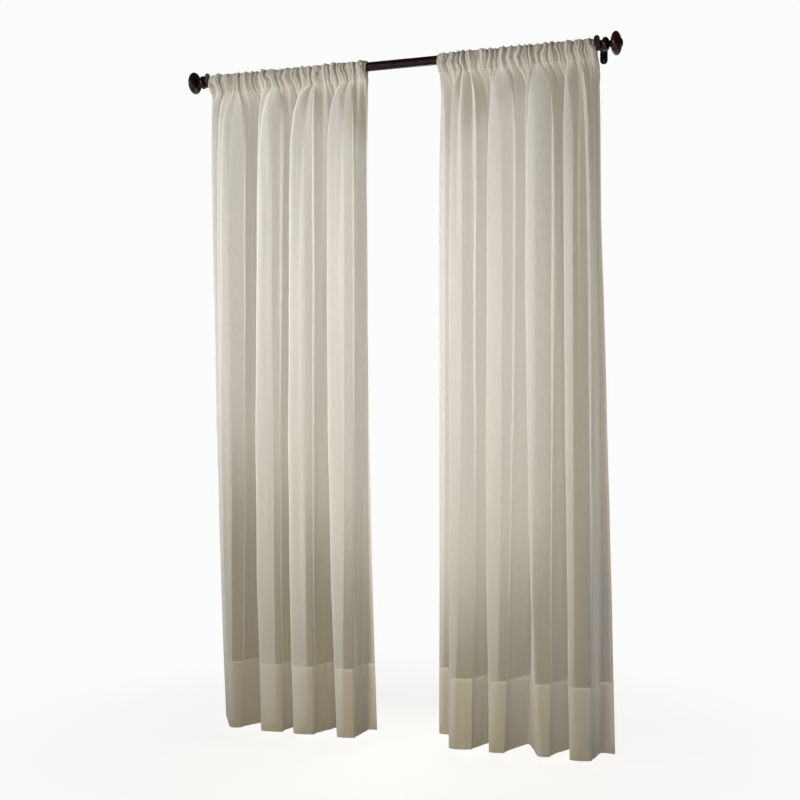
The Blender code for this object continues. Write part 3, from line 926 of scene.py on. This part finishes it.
# %% Rod and finials
start, end = rod_low.x, rod_high.x
bevel = 0.0010
rod_points = [(start + 0.0005, 0.0), (start + 0.0005, 0.0078)]
rod_points += [(start, 0.0080), (start, rod_radius - bevel)]
rod_points += [(start + 0.0003, rod_radius - 0.3 * bevel), (start + bevel, rod_radius)]
rod_points += [(x, rod_radius) for x in np.linspace(start + 0.02, end - 0.02, 41)]
rod_points += [(end - bevel, rod_radius), (end - 0.0003, rod_radius - 0.3 * bevel)]
rod_points += [(end, rod_radius - bevel), (end, 0.0080)]
rod_points += [(end - 0.0005, 0.0078), (end - 0.0005, 0.0)]
rod_mesh = turned("rod_turned", rod_points, 48, [0.25] * 6 + [0.04] * 41 + [0.25] * 6)
rod_mesh.transform(Matrix.Translation((0, axis_y, 0)))
add_piece("rod_turned", rod_mesh, bronze, "bronze", "rod")
profile, worn = finial_profile()
for side, place in (("left", start), ("right", end)):
    mesh = turned("finial_turned_" + side, profile, 64, worn)
    if side == "left":
        mesh.transform(Matrix.Diagonal((-1, 1, 1, 1)))
        mesh.flip_normals()
    mesh.transform(Matrix.Translation((place, axis_y, 0)))
    add_piece("finial_turned_" + side, mesh, bronze, "bronze", "finial_" + side)
    box = [round(v, 4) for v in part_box("finial_" + side)[1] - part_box("finial_" + side)[0]]
    print("finial", side, "stands in for a solid of", box)

# %% [markdown]
# A bracket is a bent strap on a round arm and a wall plate, held by two screws. The solids already have
# the right shape, so they are kept and only get a finish. A bracket isn't handled or polished after it
# is bent, so its coat is rougher than the rod's. The screws' coat is lighter, a painted highlight.

# %% Brackets and screws
for side in ("left", "right"):
    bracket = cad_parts["bracket_" + side]
    bracket.data.materials.clear()
    bracket.data.materials.append(cast_bronze)
    for place in ("upper", "lower"):
        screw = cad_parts["screw_" + side + "_" + place]
        screw.data.materials.clear()
        screw.data.materials.append(screw_highlight_bronze)
    print(side, "bracket wears", bracket.data.materials[0].name)

# %% [markdown]
# The set is a plain pale floor that fades into a white world. The part hangs on a rod, so the floor
# lies a little below the hems and nothing touches it.

# %% Floor
WHITE = (0.97, 0.97, 0.97)
FLOOR_BELOW_HEM = 0.03
FLOOR_RADIUS = 9.0
floor_z = -drop_below_axis - FLOOR_BELOW_HEM
bpy.ops.mesh.primitive_circle_add(
    vertices=96, radius=FLOOR_RADIUS, fill_type="NGON", location=(AIM_X, axis_y, floor_z)
)
floor = bpy.context.object
floor.name = "floor"


def floor_finish():
    """Pale for the eye, fading into the world's white; darker for reflected light; absent where it
    would be seen through the cloth, so that one tone of the world stands behind all the cloth."""
    made, tree, shader = new_finish("floor")
    shader.inputs["Base Color"].default_value = (0.36, 0.34, 0.31, 1)
    shader.inputs["Roughness"].default_value = 0.95
    shader.inputs["Specular IOR Level"].default_value = 0.1
    where = add_node(tree, "ShaderNodeTexCoord")
    distance = add_node(tree, "ShaderNodeVectorMath", operation="LENGTH")
    tree.links.new(where.outputs["Object"], distance.inputs[0])
    fade = add_node(tree, "ShaderNodeMapRange", interpolation_type="SMOOTHSTEP")
    fade.inputs["From Min"].default_value = 0.4
    fade.inputs["From Max"].default_value = 1.6
    tree.links.new(distance.outputs["Value"], fade.inputs["Value"])
    glow = add_node(tree, "ShaderNodeEmission")
    glow.inputs["Color"].default_value = (*WHITE, 1)
    path = add_node(tree, "ShaderNodeLightPath")
    shader.inputs["Emission Color"].default_value = (1, 1, 1, 1)
    tree.links.new(
        math_node(tree, "MULTIPLY", path.outputs["Is Camera Ray"], 0.80),
        shader.inputs["Emission Strength"],
    )
    plain = add_node(tree, "ShaderNodeMixShader")
    tree.links.new(fade.outputs[0], plain.inputs["Fac"])
    tree.links.new(shader.outputs[0], plain.inputs[1])
    tree.links.new(glow.outputs[0], plain.inputs[2])
    gone = add_node(tree, "ShaderNodeBsdfTransparent")
    mix = add_node(tree, "ShaderNodeMixShader")
    covered = math_node(tree, "GREATER_THAN", path.outputs["Transparent Depth"], 0.5)
    tree.links.new(covered, mix.inputs["Fac"])
    tree.links.new(plain.outputs[0], mix.inputs[1])
    tree.links.new(gone.outputs[0], mix.inputs[2])
    tree.links.new(mix.outputs[0], tree.nodes["Material Output"].inputs["Surface"])
    return made


floor.data.materials.append(floor_finish())
print("floor at", round(floor_z, 3))

# %% [markdown]
# The world is white to the eye and dim to the cloth, so that the lights shape the folds. What shows
# through the cloth is one soft tone that stands still in the world, made of painted light and shade: a
# painted glow, light and warm, in the middle, painted shade, browner, at the top and on the right, and
# dark painted shade low down, darkest at both outer sides as a painted shadow. A pale wall would need a
# shade of its own for each of these places.

# %% World
def ease_node(tree, value, start, end):
    """A value eased from 0 at start to 1 at end."""
    node = add_node(tree, "ShaderNodeMapRange", interpolation_type="SMOOTHSTEP")
    node.inputs["From Min"].default_value = start
    node.inputs["From Max"].default_value = end
    tree.links.new(value, node.inputs["Value"])
    return node.outputs[0]


def blend_node(tree, amount, first, second):
    """A colour between two others; each may be a socket or three numbers."""
    node = add_node(tree, "ShaderNodeMix", data_type="RGBA")
    tree.links.new(amount, node.inputs["Factor"])
    for key, value in (("A", first), ("B", second)):
        if hasattr(value, "is_output"):
            tree.links.new(value, node.inputs[key])
        else:
            node.inputs[key].default_value = (*value, 1.0)
    return node.outputs["Result"]


# Tones seen through the cloth: a painted glow in the middle, painted shade at the top, on the right and
# low down, and a painted shadow at the low outer sides.
PAINTED_GLOW_TONE = (0.36, 0.33, 0.28)
TOP_SHADE_TONE = (0.18, 0.145, 0.078)
LOW_SHADE_TONE = (0.086, 0.062, 0.012)
SIDE_SHADE_TONE = (0.115, 0.092, 0.030)
EDGE_SHADOW_TONE = (0.018, 0.014, 0.005)
SOFT_LIGHT = (0.088, 0.079, 0.062)
world = bpy.data.worlds.new("studio")
bpy.context.scene.world = world
world.use_nodes = True
tree = world.node_tree
toward = add_node(tree, "ShaderNodeTexCoord")
parts = add_node(tree, "ShaderNodeSeparateXYZ")
tree.links.new(toward.outputs["Generated"], parts.inputs[0])
aside = math_node(tree, "ABSOLUTE", math_node(tree, "ADD", parts.outputs["X"], 0.33))
tilted = math_node(tree, "MULTIPLY_ADD", aside, -0.66, parts.outputs["Z"])
inner = math_node(tree, "ABSOLUTE", math_node(tree, "ADD", parts.outputs["X"], 0.30))
sunken = math_node(tree, "MULTIPLY_ADD", inner, -0.70, parts.outputs["Z"])
low = ease_node(tree, sunken, -0.103, -0.223)
right = ease_node(tree, parts.outputs["X"], -0.245, -0.215)
top = ease_node(tree, tilted, 0.165, 0.195)
behind = blend_node(tree, top, PAINTED_GLOW_TONE, TOP_SHADE_TONE)
behind = blend_node(tree, right, behind, SIDE_SHADE_TONE)
outer = ease_node(tree, aside, 0.118, 0.138)
low_shade_tone = blend_node(tree, outer, LOW_SHADE_TONE, EDGE_SHADOW_TONE)
behind = blend_node(tree, low, behind, low_shade_tone)
path = add_node(tree, "ShaderNodeLightPath")
covered = math_node(tree, "GREATER_THAN", path.outputs["Transparent Depth"], 0.5)
seen = blend_node(tree, covered, WHITE, behind)
colour = blend_node(tree, path.outputs["Is Camera Ray"], SOFT_LIGHT, seen)
tree.links.new(colour, tree.nodes["Background"].inputs["Color"])
print("the world mixes", len(tree.nodes), "nodes")

# %% [markdown]
# The main light is a large soft panel, high in front on the left, so that the left edges of the folds
# are bright and their right sides fall into shade. Two soft fills stand in front, the lower one warm,
# and one soft light stands behind the cloth and makes it glow.

# %% Lights
def soft_light(name, place, target, size, power, colour=(1, 1, 1)):
    """A rectangular light at a place, turned to its target, which the camera doesn't see."""
    data = bpy.data.lights.new(name, "AREA")
    data.shape = "RECTANGLE"
    data.size, data.size_y = size
    data.energy = power
    data.color = colour
    light = bpy.data.objects.new(name, data)
    light.location = place
    light.rotation_euler = (Vector(target) - Vector(place)).to_track_quat("-Z", "Y").to_euler()
    light.visible_camera = False
    bpy.context.scene.collection.objects.link(light)
    return light


middle = (AIM_X, axis_y, -0.9)
upper = (AIM_X + 0.12, axis_y, -0.50)
lower = (AIM_X + 0.05, axis_y, -1.8)
key = soft_light("key", (AIM_X - 2.1, axis_y - 2.5, 0.25), upper, (1.1, 1.1), 10.5)
key.data.spread = math.radians(52)
soft_light("fill", (AIM_X - 0.1, axis_y - 3.1, -0.75), middle, (1.4, 1.6), 20.5, (1.0, 1.0, 1.0))
low_fill = soft_light(
    "low_fill", (AIM_X + 0.25, axis_y - 2.4, -1.95), lower, (1.0, 0.5), 5.5, (1.0, 0.82, 0.48)
)
low_fill.data.spread = math.radians(95)
soft_light("back", (AIM_X, 0.45, -0.95), (AIM_X, axis_y, -0.95), (0.55, 1.4), 8)
bpy.context.scene.view_settings.view_transform = "Standard"
